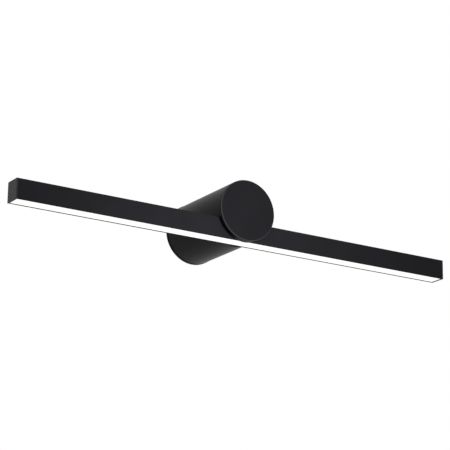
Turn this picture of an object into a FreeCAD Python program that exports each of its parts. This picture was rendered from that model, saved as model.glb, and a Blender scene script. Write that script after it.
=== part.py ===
"""Vanity light bar: a slim LED bar carried by a round can on a wall base.

Frame: the origin is the centre of the can's axis on the wall plane.  +X runs along the
bar, +Z is up, and -Y points from the wall into the room.  "Depth" is the distance from
the wall, so y = -depth.
"""
import FreeCAD, Part

import math
import os

import Sketcher

os.makedirs("parts", exist_ok=True)
doc = FreeCAD.newDocument("VanityLightBar")
Vector = FreeCAD.Vector


# ---------------------------------------------------------------- driving dimensions

DIMENSIONS = {
    # the light bar: an extruded channel, closed below by an opal diffuser
    "bar_length": 610,
    "bar_height": 25,
    "bar_thickness": 22.5,
    "bar_wall": 1.2,
    "bar_top_wall": 1.5,
    "bar_setback": 8.5,
    "bar_underside": 37.2,
    "bar_clearance": 0.1,
    "chamber_height": 8,
    "web_thickness": 2,
    "rail_reach": 1.3,
    "rail_thickness": 1,
    "rail_gap": 0.2,
    "rib_reach": 0.8,
    "rib_thickness": 0.8,
    "rib_height": 4.2,
    "lead_hole_radius": 4,
    "pin_slot_length": 6,
    "pin_slot_width": 4,
    "end_cap_thickness": 2,
    "end_lug_length": 7,
    "end_lug_gap": 0.15,
    "end_lug_wall": 1.5,
    "low_lug_height": 3,
    "diffuser_recess": 0.6,
    "diffuser_thickness": 1.6,
    "diffuser_gap": 0.1,
    "diffuser_leg": 0.9,
    "diffuser_hook": 0.6,
    "board_length": 300,
    "board_width": 17,
    "board_thickness": 1.6,
    "board_gap": 1,
    "chip_length": 3.5,
    "chip_width": 2.8,
    "chip_height": 0.8,
    "chip_pitch": 10,
    # the can: a round tube with a pressed-in front
    "can_radius": 38.25,
    "can_wall": 1.5,
    "can_gap": 0.1,
    "projection": 130,
    "front_thickness": 2.5,
    "front_chamfer": 1,
    "front_ring_depth": 5,
    "front_ring_wall": 2,
    "boss_radius": 4.5,
    "boss_depth": 4,
    "boss_offset": 18,
    "boss_rise": 4,
    "boss_bore_depth": 5,
    "fit_gap": 0.05,
    "cut_margin": 1,
    # the collar inside the can's rear end, and the set screws that grip the base
    "collar_start": 4.5,
    "collar_length": 12,
    "collar_bore": 33.2,
    "set_screw_depth": 10.5,
    "set_screw_angle": 25,
    "set_screw_radius": 2,
    "set_screw_length": 5,
    "set_screw_reach": 0.15,
    "set_screw_chamfer": 0.3,
    "set_screw_socket": 2,
    "set_screw_socket_depth": 2.5,
    # the wall base
    "rim_radius": 38.6,
    "rim_depth": 3,
    "step_radius": 36.4,
    "step_depth": 4.3,
    "spigot_radius": 33,
    "spigot_wall": 2,
    "spigot_depth": 16,
    "floor_back": 2.3,
    "floor_front": 4.8,
    "recess_radius": 34.3,
    "level_range": 10,
    # the wall bracket
    "bracket_radius": 33.9,
    "bracket_thickness": 2,
    "bracket_bore": 11,
    "wall_slot_spacing": 50,
    "wall_slot_length": 9,
    "wall_slot_width": 4.5,
    "stud_offset": 24,
    "stud_length": 12,
    "stud_radius": 2,
    "stud_head_radius": 3,
    "stud_slot_width": 4.5,
    "nut_gap": 0.1,
    "nut_flange_radius": 4.6,
    "nut_flange_thickness": 1,
    "nut_width": 7,
    "nut_height": 3.2,
    # the cable grommet in the base
    "grommet_bore": 4.5,
    "grommet_neck": 8,
    "grommet_flange": 10.2,
    "grommet_lip": 1.5,
    # the chassis shelf that carries the driver and the terminal block
    "sheet": 1.5,
    "shelf_half_width": 24,
    "shelf_end": 88,
    "shelf_drop": 14,
    "foot_inner": 11,
    "foot_outer": 20,
    "foot_bottom": 22.5,
    "foot_screw_offset": 15.5,
    "foot_screw_drop": 18.5,
    "ear_reach": 27.5,
    "ear_screw_offset": 24.9,
    "ear_depth": 58,
    "ear_width": 8,
    "ear_thickness": 2.5,
    # the terminal block and its screws
    "block_start": 13,
    "block_length": 14,
    "block_half_width": 13,
    "block_height": 11,
    "pole_pitch": 8,
    "pole_rise": 5.5,
    "pole_bore": 1.6,
    "pole_screw_bore": 1.9,
    "pole_screw_radius": 1.7,
    "pole_screw_offset": 3.5,
    "pole_screw_rise": 1.2,
    "pole_screw_length": 3.5,
    "pole_slot_depth": 0.8,
    "pole_slot_width": 0.6,
    "groove_width": 1.6,
    "groove_depth": 2.5,
    # the earth screw and its ring terminal
    "earth_x": 18.5,
    "earth_z": 6,
    "ring_thickness": 0.8,
    "ring_radius": 4,
    "tongue_length": 8,
    "tongue_width": 3,
    "barrel_drop": 9,
    "barrel_length": 4,
    "barrel_bore_depth": 3,
    "barrel_radius": 1.5,
    "barrel_rise": 1.6,
    # the wires
    "wire_radius": 0.95,
    "wire_bend": 4.5,
    "earth_bend": 3.5,
    "wire_insertion": 5,
    "wire_straight": 3,
    "wire_step": 5,
    "live_hole": 12,
    "neutral_hole": 4,
    "driver_insertion": 4.5,
    "earth_turn": 4.5,
    "earth_insertion": 2.5,
    # the LED driver
    "driver_start": 36,
    "driver_length": 48,
    "driver_half_width": 22,
    "driver_wall": 1.5,
    "driver_split": 8,
    "driver_top": 12,
    "driver_corner": 2,
    "driver_board_rise": 5.5,
    "driver_board_gap": 1,
    "driver_ear_overlap": 0.5,
    "driver_screw_depth": 5,
    "post_radius": 2,
    "post_inset_x": 3,
    "post_inset": 3.5,
    "wire_hole_gap": 0.3,
    "lid_gap": 0.05,
    "lid_fit": 0.1,
    "lid_lip": 2.5,
    "lid_lip_wall": 1,
    "core_width": 17,
    "core_start": 51,
    "core_length": 18,
    "core_height": 13,
    "core_leg": 3,
    "core_sill": 2.5,
    "winding_overhang": 2.5,
    "winding_gap": 0.2,
    "winding_fillet": 2,
    "main_capacitor_x": 12,
    "main_capacitor_depth": 58,
    "main_capacitor_radius": 5,
    "main_capacitor_height": 13,
    "small_capacitor_x": 13,
    "small_capacitor_depth": 71,
    "small_capacitor_radius": 4,
    "small_capacitor_height": 11,
    "input_block_width": 16,
    "input_block_gap": 0.5,
    "input_block_length": 8,
    "input_block_height": 8,
    "input_bore": 1.2,
    "input_bore_depth": 4,
    "socket_half_width": 5,
    "socket_height": 8,
    "socket_length": 10.3,
    "socket_wall": 1,
    "socket_back": 3,
    "socket_reach": 0.3,
    "socket_pin_offset": 1.6,
    "socket_pin_radius": 0.5,
    "socket_pin_inset": 3.5,
    "plug_gap": 0.2,
    "plug_length": 7.5,
    "plug_start": 0.5,
    "plug_nose": 5,
    "plug_half_width": 5.4,
    "plug_half_height": 4.2,
    "plug_pin_bore": 0.7,
    "plug_lead_depth": 4,
    "latch_half_width": 2,
    "latch_inset": 1,
    "latch_height": 1.2,
    # the lead from the driver to the bar
    "lead_radius": 1.9,
    "lead_bend": 7.5,
    "lead_depth": 113.5,
    "lead_plug_insertion": 3,
    "connector_half_width": 5,
    "connector_half_length": 4,
    "connector_height": 5,
    "connector_bore_depth": 3,
    "connector_lead_height": 2.5,
    "connector_pin_offset": 2,
    "connector_pin_radius": 0.6,
    "small_grommet_lip": 1.2,
    "small_grommet_inner": 5.2,
    "small_grommet_neck": 3.9,
    "small_grommet_outer": 5.5,
    # the saddle that holds the bar to the can's front
    "saddle_sheet": 2.5,
    "saddle_half_width": 30,
    "saddle_flange_half_width": 26,
    "saddle_flange_top": 12,
    "saddle_start": 101,
    "saddle_lead_bore": 6.5,
    "clamp_offset": 22,
    "nut_plate_size": 15,
    "nut_plate_thickness": 3,
    # machine screws, by thread, and their cross recesses
    "m3_radius": 1.5,
    "m3_clearance": 0.1,
    "m3_head_radius": 2.75,
    "m3_head_height": 1.8,
    "m3_cross_depth": 1,
    "m4_radius": 2,
    "m4_clearance": 0.2,
    "m4_head_radius": 3.8,
    "m4_head_height": 2.4,
    "m4_cross_depth": 1.2,
    "cross_reach": 0.6,
    "cross_width": 0.2,
    "screw_end_gap": 0.2,
    "boss_end_gap": 0.4,
    "clamp_screw_end": 0.5,
}

sheet = doc.addObject("Spreadsheet::Sheet", "Dimensions")
for row, (alias, millimetres) in enumerate(DIMENSIONS.items(), start=1):
    sheet.set(f"A{row}", alias.replace("_", " "))
    sheet.set(f"B{row}", str(millimetres))
    sheet.setAlias(f"B{row}", alias)
doc.recompute()


class Length:
    """A size that carries its value and the formula that gives it from the sheet."""

    def __init__(self, value, formula):
        self.value = value
        self.formula = formula

    def __add__(self, other):
        return Length(self.value + value_of(other), f"({self.formula} + {formula_of(other)})")

    def __sub__(self, other):
        return Length(self.value - value_of(other), f"({self.formula} - {formula_of(other)})")

    def __mul__(self, factor):
        return Length(self.value * value_of(factor), f"({self.formula} * {formula_of(factor)})")

    def __truediv__(self, divisor):
        return Length(self.value / value_of(divisor), f"({self.formula} / {formula_of(divisor)})")

    def __neg__(self):
        return Length(-self.value, f"(0 - {self.formula})")

    __radd__ = __add__
    __rmul__ = __mul__

    def __rsub__(self, other):
        return -self + other


def value_of(size):
    """The size in millimetres as a plain number."""
    return size.value if isinstance(size, Length) else float(size)


def formula_of(size):
    """The size as expression text."""
    return size.formula if isinstance(size, Length) else f"{size:.6f}"


class Sizes:
    """The sheet's cells as Lengths, by alias."""

    def __getattr__(self, alias):
        return Length(float(sheet.get(alias)), f"Dimensions.{alias}")


size = Sizes()

# how far two lengths may differ, in millimetres, and still count as the same
SAME = 0.01

# places that several sub-parts share
bar_front = size.projection - size.bar_setback
bar_back = bar_front - size.bar_thickness
bar_middle = bar_front - size.bar_thickness / 2
bar_bottom = -size.bar_underside
bar_top = bar_bottom + size.bar_height
bar_half = size.bar_length / 2
chamber_top = bar_top - size.bar_top_wall
chamber_floor = chamber_top - size.chamber_height
board_top = chamber_floor - size.web_thickness
board_bottom = board_top - size.board_thickness
rail_top = board_bottom - size.rail_gap
can_bore = size.can_radius - size.can_wall
front_back = size.projection - size.front_thickness
saddle_top = bar_top + size.saddle_sheet
flange_back = front_back - size.boss_depth - size.saddle_sheet
shelf_top = -size.shelf_drop
driver_end = size.driver_start + size.driver_length
driver_board_top = shelf_top + size.driver_wall + size.driver_board_rise
wire_height = shelf_top + size.pole_rise
input_height = wire_height + size.wire_step
socket_middle = driver_board_top + size.socket_height / 2
ear_depths = (size.ear_depth - size.ear_width / 2, size.ear_depth + size.ear_width / 2)


# ---------------------------------------------------------------- modelling helpers

def new_body(label):
    """An empty PartDesign body, which becomes one sub-part."""
    body = doc.addObject("PartDesign::Body", label)
    body.Label = label
    return body


def origin_feature(body, role):
    """The body's own origin plane or axis."""
    return next(item for item in body.Origin.OriginFeatures if item.Role == role)


def new_sketch(body, plane, offset=0, tilt=0):
    """A sketch on one of the body's origin planes, moved along the plane's normal.

    Sketches on XZ_Plane have x along X, y along Z and a normal towards the room, so their
    offset is a depth.  tilt turns an XY_Plane sketch about the can's axis, in degrees.
    """
    sketch = body.newObject("Sketcher::SketchObject", body.Label + "_sketch")
    sketch.AttachmentSupport = (origin_feature(body, plane), [""])
    sketch.MapMode = "FlatFace"
    if value_of(tilt):
        turn = FreeCAD.Rotation(Vector(0, 1, 0), value_of(tilt))
        sketch.AttachmentOffset = FreeCAD.Placement(Vector(0, 0, 0), turn)
        sketch.setExpression("AttachmentOffset.Rotation.Angle", formula_of(tilt))
    sketch.setExpression("AttachmentOffset.Base.z", formula_of(offset))
    return sketch


def fix(sketch, kind, *target):
    """Adds a dimension whose last argument is its size, bound to the sheet."""
    *where, amount = target
    index = sketch.addConstraint(Sketcher.Constraint(kind, *where, value_of(amount)))
    if isinstance(amount, Length):
        sketch.setExpression(f"Constraints[{index}]", amount.formula)


def fix_point(sketch, geometry, vertex, x, y):
    """Places one vertex of a sketch by its distances from the sketch's origin."""
    fix(sketch, "DistanceX", -1, 1, geometry, vertex, x)
    fix(sketch, "DistanceY", -1, 1, geometry, vertex, y)


def polygon(sketch, points):
    """A closed outline of straight lines through (x, y) points."""
    corners = [Vector(value_of(x), value_of(y), 0) for x, y in points]
    following = corners[1:] + corners[:1]
    lines = [Part.LineSegment(a, b) for a, b in zip(corners, following)]
    indices = sketch.addGeometry(lines)
    for line, after in zip(indices, indices[1:] + indices[:1]):
        sketch.addConstraint(Sketcher.Constraint("Coincident", line, 2, after, 1))
    for line, (x, y) in zip(indices, points):
        fix_point(sketch, line, 1, x, y)


def rectangle(sketch, left, right, bottom, top):
    """A rectangle between two x and two y values."""
    polygon(sketch, [(left, bottom), (right, bottom), (right, top), (left, top)])


def circle(sketch, x, y, radius):
    """A circle, placed and sized."""
    shape = Part.Circle(Vector(value_of(x), value_of(y), 0), Vector(0, 0, 1), value_of(radius))
    index = sketch.addGeometry(shape)
    fix_point(sketch, index, 3, x, y)
    fix(sketch, "Radius", index, radius)


def hexagon(sketch, x, y, across_flats):
    """A hexagon with two corners on the x direction."""
    reach = across_flats / math.sqrt(3)
    turns = [math.radians(60 * corner) for corner in range(6)]
    polygon(sketch, [(x + reach * math.cos(turn), y + reach * math.sin(turn)) for turn in turns])


def straight_slot(sketch, x, y, length, width):
    """A slot with round ends, lying along x and centred on (x, y)."""
    reach = value_of(length - width) / 2
    radius = value_of(width) / 2
    left = Vector(value_of(x) - reach, value_of(y), 0)
    right = Vector(value_of(x) + reach, value_of(y), 0)
    up = Vector(0, radius, 0)
    normal = Vector(0, 0, 1)
    arcs = [
        Part.ArcOfCircle(Part.Circle(left, normal, radius), math.pi / 2, 3 * math.pi / 2),
        Part.ArcOfCircle(Part.Circle(right, normal, radius), -math.pi / 2, math.pi / 2),
    ]
    lines = [Part.LineSegment(left - up, right - up), Part.LineSegment(right + up, left + up)]
    round_left, round_right, low, high = sketch.addGeometry(arcs + lines)
    joints = [(round_left, 2, low, 1), (low, 2, round_right, 1),
              (round_right, 2, high, 1), (high, 2, round_left, 1)]
    for joint in joints:
        sketch.addConstraint(Sketcher.Constraint("Tangent", *joint))
    fix_point(sketch, round_left, 3, x - (length - width) / 2, y)
    fix(sketch, "DistanceX", round_left, 3, round_right, 3, length - width)
    fix(sketch, "Radius", round_left, width / 2)


def arc_slot(sketch, radius, width, half_angle, side):
    """A slot bent round the origin, centred on the +y side (side 1) or -y side (side -1)."""
    normal = Vector(0, 0, 1)
    origin = Vector(0, 0, 0)
    middle = side * math.pi / 2
    swing = math.radians(value_of(half_angle))
    start, end = middle - swing, middle + swing
    half_width = value_of(width) / 2
    inner, outer = value_of(radius) - half_width, value_of(radius) + half_width

    def at(angle):
        return Vector(math.cos(angle), math.sin(angle), 0) * value_of(radius)

    long_arcs = [Part.ArcOfCircle(Part.Circle(origin, normal, r), start, end) for r in (outer, inner)]
    ends = [
        Part.ArcOfCircle(Part.Circle(at(end), normal, half_width), end, end + math.pi),
        Part.ArcOfCircle(Part.Circle(at(start), normal, half_width), start + math.pi, start + 2 * math.pi),
    ]
    outer_arc, inner_arc, end_arc, start_arc = sketch.addGeometry(long_arcs + ends)
    for joint in [(outer_arc, 2, end_arc, 1), (end_arc, 2, inner_arc, 2),
                  (inner_arc, 1, start_arc, 1), (start_arc, 2, outer_arc, 1)]:
        sketch.addConstraint(Sketcher.Constraint("Tangent", *joint))
    for arc in (outer_arc, inner_arc):
        sketch.addConstraint(Sketcher.Constraint("Coincident", arc, 3, -1, 1))
    fix(sketch, "Radius", outer_arc, radius + width / 2)
    fix(sketch, "Radius", inner_arc, radius - width / 2)
    fix(sketch, "DistanceX", -1, 1, end_arc, 3, -side * math.sin(swing) * radius)
    fix(sketch, "DistanceX", -1, 1, start_arc, 3, side * math.sin(swing) * radius)


def add_feature(body, kind, sketch):
    """A sketch-based feature at the end of the body."""
    feature = body.newObject("PartDesign::" + kind, body.Label + "_" + kind.lower())
    feature.Profile = sketch
    sketch.Visibility = False
    return feature


def pad(body, sketch, length):
    """Adds material along the sketch's normal."""
    feature = add_feature(body, "Pad", sketch)
    feature.setExpression("Length", formula_of(length))
    doc.recompute()
    return feature


def cut(body, sketch, length):
    """Removes material along the sketch's normal, and makes sure that some was there."""
    before = body.Shape.Volume
    feature = add_feature(body, "Pocket", sketch)
    feature.Reversed = True
    feature.setExpression("Length", formula_of(length))
    doc.recompute()
    if body.Shape.Volume > before - 1e-3:
        raise RuntimeError(body.Label + ": a cut removed nothing")
    return feature


def revolve(body, outline):
    """Turns an outline of (radius, depth) points about the can's axis."""
    sketch = new_sketch(body, "XY_Plane")
    polygon(sketch, [(radius, -depth) for radius, depth in outline])
    feature = add_feature(body, "Revolution", sketch)
    feature.ReferenceAxis = (sketch, ["V_Axis"])
    feature.Angle = 360
    doc.recompute()
    return feature


def mirror(body, plane):
    """Repeats the whole body on the other side of one of its origin planes."""
    feature = body.newObject("PartDesign::Mirrored", body.Label + "_mirrored")
    feature.TransformMode = "Whole shape"
    feature.MirrorPlane = (origin_feature(body, plane), [""])
    body.Tip = feature
    doc.recompute()
    return feature


def repeat(body, axis, length, count):
    """Repeats the whole body count times over a length along one of its origin axes."""
    feature = body.newObject("PartDesign::LinearPattern", body.Label + "_pattern")
    feature.TransformMode = "Whole shape"
    feature.Direction = (origin_feature(body, axis), [""])
    feature.setExpression("Length", formula_of(length))
    feature.Occurrences = count
    body.Tip = feature
    doc.recompute()
    return feature


def edges_where(feature, test):
    """Names of the feature's edges whose bounding box passes a test."""
    edges = enumerate(feature.Shape.Edges, start=1)
    return [f"Edge{number}" for number, edge in edges if test(edge.BoundBox)]


def dress(body, kind, feature, names, amount):
    """A fillet or chamfer on named edges."""
    dressed = body.newObject("PartDesign::" + kind, body.Label + "_" + kind.lower())
    dressed.Base = (feature, names)
    dressed.setExpression("Radius" if kind == "Fillet" else "Size", formula_of(amount))
    doc.recompute()
    return dressed


def block(label, x_range, depth_range, z_range):
    """A body that starts as a rectangular block between two x, two depths and two heights."""
    body = new_body(label)
    add_block(body, x_range, depth_range, z_range)
    return body


def add_block(body, x_range, depth_range, z_range):
    """Adds a rectangular block to a body."""
    sketch = new_sketch(body, "XY_Plane", z_range[0])
    rectangle(sketch, *x_range, -depth_range[1], -depth_range[0])
    return pad(body, sketch, z_range[1] - z_range[0])


def cut_block(body, x_range, depth_range, z_range):
    """Removes a rectangular block from a body."""
    sketch = new_sketch(body, "XY_Plane", z_range[0])
    rectangle(sketch, *x_range, -depth_range[1], -depth_range[0])
    return cut(body, sketch, z_range[1] - z_range[0])


def both(reach):
    """The range from minus a size to plus that size."""
    return (-reach, reach)


def add_disc(body, x, z, radius, depth_range):
    """Adds a cylinder whose axis runs from the wall into the room."""
    sketch = new_sketch(body, "XZ_Plane", depth_range[0])
    circle(sketch, x, z, radius)
    return pad(body, sketch, depth_range[1] - depth_range[0])


def cut_discs(body, centres, radius, depth_range):
    """Bores round holes that run from the wall into the room."""
    sketch = new_sketch(body, "XZ_Plane", depth_range[0])
    for x, z in centres:
        circle(sketch, x, z, radius)
    return cut(body, sketch, depth_range[1] - depth_range[0])


def cut_drills(body, centres, radius, z_range):
    """Bores round upright holes at (x, depth) centres."""
    sketch = new_sketch(body, "XY_Plane", z_range[0])
    for x, depth in centres:
        circle(sketch, x, -depth, radius)
    return cut(body, sketch, z_range[1] - z_range[0])


def cut_cross(body, plane, offset, x, y, head_radius, depth):
    """A cross recess for a screwdriver in a screw's head."""
    sketch = new_sketch(body, plane, offset)
    reach = head_radius * size.cross_reach
    half = reach * size.cross_width
    corners = [(reach, -half), (reach, half), (half, half), (half, reach),
               (-half, reach), (-half, half), (-reach, half), (-reach, -half),
               (-half, -half), (-half, -reach), (half, -reach), (half, -half)]
    polygon(sketch, [(x + dx, y + dy) for dx, dy in corners])
    return cut(body, sketch, depth)


def lead(label, route, radius, bend):
    """A round lead along (x, depth, z) points: straight runs joined by tangent arcs."""
    points = [Vector(value_of(x), -value_of(depth), value_of(z)) for x, depth, z in route]
    bend_radius = value_of(bend)
    edges = []
    start = points[0]
    for before, corner, after in zip(points, points[1:], points[2:]):
        arriving = (corner - before).normalize()
        leaving = (after - corner).normalize()
        turn = arriving.getAngle(leaving)
        reach = bend_radius * math.tan(turn / 2)
        arc_start = corner - arriving * reach
        arc_end = corner + leaving * reach
        inward = (leaving - arriving).normalize()
        centre_distance = bend_radius / math.cos(turn / 2)
        arc_middle = corner + inward * (centre_distance - bend_radius)
        edges.append(Part.LineSegment(start, arc_start).toShape())
        edges.append(Part.Arc(arc_start, arc_middle, arc_end).toShape())
        start = arc_end
    edges.append(Part.LineSegment(start, points[-1]).toShape())
    path = Part.Wire(edges)
    section = Part.Wire(Part.Circle(points[0], points[1] - points[0], value_of(radius)).toShape())
    shape = path.makePipeShell([section], True, False)
    expected = math.pi * value_of(radius) ** 2 * path.Length
    if abs(shape.Volume - expected) > 0.005 * expected:
        raise RuntimeError(label + ": the lead's volume isn't its section times its length")
    feature = doc.addObject("Part::Feature", label)
    feature.Label = label
    feature.Shape = shape
    feature.Placement = FreeCAD.Placement()
    print(f"{label}: {path.Length:.1f} mm long, bends of {bend_radius} mm")
    return feature


def place(piece, x, depth, z, axis=Vector(0, 0, 1), turn=0):
    """Puts a sub-part's own origin at a place in the light's frame."""
    piece.Placement = FreeCAD.Placement(Vector(0, 0, 0), FreeCAD.Rotation(axis, value_of(turn)))
    if isinstance(turn, Length):
        piece.setExpression("Placement.Rotation.Angle", turn.formula)
    for letter, amount in (("x", x), ("y", -depth), ("z", z)):
        piece.setExpression(f"Placement.Base.{letter}", formula_of(amount))
    return piece


# ---------------------------------------------------------------- wall bracket

def make_wall_bracket():
    """Round steel plate with two slots for the wall screws and a hole for the supply cable."""
    body = new_body("wall_bracket")
    thickness = size.bracket_thickness
    add_disc(body, 0, 0, size.bracket_radius, (0, thickness))
    cut_discs(body, [(0, 0)], size.bracket_bore, (0, thickness))
    stud_hole = size.stud_head_radius + size.fit_gap
    cut_discs(body, [(0, size.stud_offset), (0, -size.stud_offset)], stud_hole, (0, thickness))
    slots = new_sketch(body, "XZ_Plane")
    for side in (-1, 1):
        x = side * size.wall_slot_spacing / 2
        straight_slot(slots, x, 0, size.wall_slot_length, size.wall_slot_width)
    cut(body, slots, thickness)


def make_bracket_studs():
    """Two studs pressed into the bracket: the base hangs on them."""
    body = new_body("bracket_studs")
    head_end = size.bracket_thickness - size.fit_gap
    add_disc(body, 0, size.stud_offset, size.stud_head_radius, (size.fit_gap, head_end))
    add_disc(body, 0, size.stud_offset, size.stud_radius, (head_end, size.stud_length))
    mirror(body, "XY_Plane")


def make_level_nuts():
    """Two flanged nuts that clamp the base once it is level."""
    body = new_body("level_nuts")
    start = size.floor_front + size.nut_gap
    flange_end = start + size.nut_flange_thickness
    add_disc(body, 0, size.stud_offset, size.nut_flange_radius, (start, flange_end))
    hexagon_sketch = new_sketch(body, "XZ_Plane", flange_end)
    hexagon(hexagon_sketch, 0, size.stud_offset, size.nut_width)
    pad(body, hexagon_sketch, size.nut_height)
    bore = size.stud_radius + size.fit_gap
    cut_discs(body, [(0, size.stud_offset)], bore, (start, flange_end + size.nut_height))
    mirror(body, "XY_Plane")


# ---------------------------------------------------------------- base

def make_base_cup():
    """Turned aluminium base: a rim on the wall, a floor, and the spigot that carries the can."""
    body = new_body("base_cup")
    spigot_bore = size.spigot_radius - size.spigot_wall
    revolve(body, [
        (size.grommet_neck, size.floor_back),
        (size.recess_radius, size.floor_back),
        (size.recess_radius, 0),
        (size.rim_radius, 0),
        (size.rim_radius, size.rim_depth),
        (size.step_radius, size.rim_depth),
        (size.step_radius, size.step_depth),
        (size.spigot_radius, size.step_depth),
        (size.spigot_radius, size.spigot_depth),
        (spigot_bore, size.spigot_depth),
        (spigot_bore, size.floor_front),
        (size.grommet_neck, size.floor_front),
    ])
    floor_span = (size.floor_back, size.floor_front)
    level_slots = new_sketch(body, "XZ_Plane", size.floor_back)
    for side in (1, -1):
        arc_slot(level_slots, size.stud_offset, size.stud_slot_width, size.level_range, side)
    cut(body, level_slots, size.floor_front - size.floor_back)
    foot_holes = [(side * size.foot_screw_offset, -size.foot_screw_drop) for side in (1, -1)]
    cut_discs(body, foot_holes, size.m3_radius + size.fit_gap, floor_span)
    cut_discs(body, [(size.earth_x, size.earth_z)], size.m4_radius + size.fit_gap, floor_span)


def make_cable_grommet():
    """Rubber grommet in the base's floor, through which the supply cable comes."""
    body = new_body("cable_grommet")
    inner_lip = size.floor_back - size.grommet_lip
    outer_lip = size.floor_front + size.grommet_lip
    neck = size.grommet_neck - size.fit_gap
    revolve(body, [
        (size.grommet_bore, inner_lip),
        (size.grommet_flange, inner_lip),
        (size.grommet_flange, size.floor_back),
        (neck, size.floor_back),
        (neck, size.floor_front),
        (size.grommet_flange, size.floor_front),
        (size.grommet_flange - size.grommet_lip / 2, outer_lip),
        (size.grommet_bore, outer_lip),
    ])


def make_chassis_bracket():
    """Folded steel shelf on two feet: it carries the terminal block and the driver."""
    start = size.floor_front
    underside = shelf_top - size.sheet
    heights = (underside, shelf_top)
    body = block("chassis_bracket", both(size.shelf_half_width), (start, size.shelf_end), heights)
    add_block(body, both(size.ear_reach), ear_depths, heights)
    for side in (1, -1):
        foot = (size.foot_inner, size.foot_outer) if side > 0 else (-size.foot_outer, -size.foot_inner)
        add_block(body, foot, (start, start + size.sheet), (-size.foot_bottom, shelf_top))
    foot_holes = [(side * size.foot_screw_offset, -size.foot_screw_drop) for side in (1, -1)]
    cut_discs(body, foot_holes, size.m3_radius + size.m3_clearance, (start, start + size.sheet))
    ear_holes = [(side * size.ear_screw_offset, size.ear_depth) for side in (1, -1)]
    cut_drills(body, ear_holes, size.m3_radius + size.fit_gap, (underside, shelf_top))


def make_chassis_screws():
    """Two M3 screws through the shelf's feet into the base's floor."""
    body = new_body("chassis_screws")
    head_start = size.floor_front + size.sheet
    head_end = head_start + size.m3_head_height
    x, z = size.foot_screw_offset, -size.foot_screw_drop
    add_disc(body, x, z, size.m3_radius, (size.floor_back + size.screw_end_gap, head_start))
    add_disc(body, x, z, size.m3_head_radius, (head_start, head_end))
    depth = size.m3_cross_depth
    cut_cross(body, "XZ_Plane", head_end - depth, x, z, size.m3_head_radius, depth)
    mirror(body, "YZ_Plane")


def make_terminal_block():
    """Three-pole screw terminal block on the shelf: supply on one side, driver on the other."""
    start, end = size.block_start, size.block_start + size.block_length
    top = shelf_top + size.block_height
    body = block("terminal_block", both(size.block_half_width), (start, end), (shelf_top, top))
    poles = [(pole * size.pole_pitch, wire_height) for pole in (-1, 0, 1)]
    cut_discs(body, poles, size.pole_bore, (start, end))
    cut_drills(body, terminal_screw_centres(), size.pole_screw_bore, (wire_height, top))
    for side in (-1, 1):
        middle = side * size.pole_pitch / 2
        groove = (middle - size.groove_width / 2, middle + size.groove_width / 2)
        cut_block(body, groove, (start, end), (top - size.groove_depth, top))


def terminal_screw_centres():
    """The (x, depth) places of the six terminal screws."""
    middle = size.block_start + size.block_length / 2
    rows = (middle - size.pole_screw_offset, middle + size.pole_screw_offset)
    return [(pole * size.pole_pitch, depth) for pole in (-1, 0, 1) for depth in rows]


def make_terminal_screws():
    """Six slotted screws that clamp the wires."""
    body = new_body("terminal_screws")
    base = wire_height + size.pole_screw_rise
    rods = new_sketch(body, "XY_Plane", base)
    for x, depth in terminal_screw_centres():
        circle(rods, x, -depth, size.pole_screw_radius)
    pad(body, rods, size.pole_screw_length)
    slots = new_sketch(body, "XY_Plane", base + size.pole_screw_length - size.pole_slot_depth)
    half_width = size.pole_slot_width / 2
    for x, depth in terminal_screw_centres():
        reach = size.pole_screw_bore
        rectangle(slots, x - reach, x + reach, -depth - half_width, -depth + half_width)
    cut(body, slots, size.pole_slot_depth)


def make_earth_parts():
    """The earth screw and the crimped ring terminal under its head."""
    floor = size.floor_front
    x, z = size.earth_x, size.earth_z
    ring_top = floor + size.ring_thickness
    head_end = ring_top + size.m4_head_height
    screw = new_body("earth_screw")
    add_disc(screw, x, z, size.m4_radius, (size.floor_back + size.screw_end_gap, ring_top))
    add_disc(screw, x, z, size.m4_head_radius, (ring_top, head_end))
    cross_depth = size.m4_cross_depth
    cut_cross(screw, "XZ_Plane", head_end - cross_depth, x, z, size.m4_head_radius, cross_depth)

    terminal = new_body("earth_terminal")
    add_disc(terminal, x, z, size.ring_radius, (floor, ring_top))
    half_width = size.tongue_width / 2
    add_block(terminal, (x - half_width, x + half_width), (floor, ring_top), (z - size.tongue_length, z))
    barrel_bottom = z - size.barrel_drop
    barrel_depth = floor + size.barrel_rise
    barrel = new_sketch(terminal, "XY_Plane", barrel_bottom)
    circle(barrel, x, -barrel_depth, size.barrel_radius)
    pad(terminal, barrel, size.barrel_length)
    bore_span = (barrel_bottom, barrel_bottom + size.barrel_bore_depth)
    cut_drills(terminal, [(x, barrel_depth)], size.wire_radius + size.fit_gap, bore_span)
    cut_discs(terminal, [(x, z)], size.m4_radius + size.m4_clearance, (floor, ring_top))


def make_wires():
    """The live, neutral and earth wires inside the can."""
    block_end = size.block_start + size.block_length
    inside_block = block_end - size.wire_insertion
    leave = block_end + size.wire_straight
    arrive = size.driver_start - size.wire_straight
    inside_driver = size.driver_start + size.driver_insertion
    wires = (("live_wire", -size.pole_pitch, -size.live_hole), ("neutral_wire", 0, -size.neutral_hole))
    for label, pole_x, hole_x in wires:
        lead(label, [
            (pole_x, inside_block, wire_height),
            (pole_x, leave, wire_height),
            (hole_x, arrive, input_height),
            (hole_x, inside_driver, input_height),
        ], size.wire_radius, size.wire_bend)
    turn_depth = size.driver_start - size.earth_turn
    barrel_depth = size.floor_front + size.barrel_rise
    wire_end = size.earth_z - size.barrel_drop + size.earth_insertion
    lead("earth_wire", [
        (size.pole_pitch, inside_block, wire_height),
        (size.pole_pitch, turn_depth, wire_height),
        (size.earth_x, turn_depth, wire_height),
        (size.earth_x, barrel_depth, wire_height),
        (size.earth_x, barrel_depth, wire_end),
    ], size.wire_radius, size.earth_bend)


# ---------------------------------------------------------------- LED driver

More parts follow.
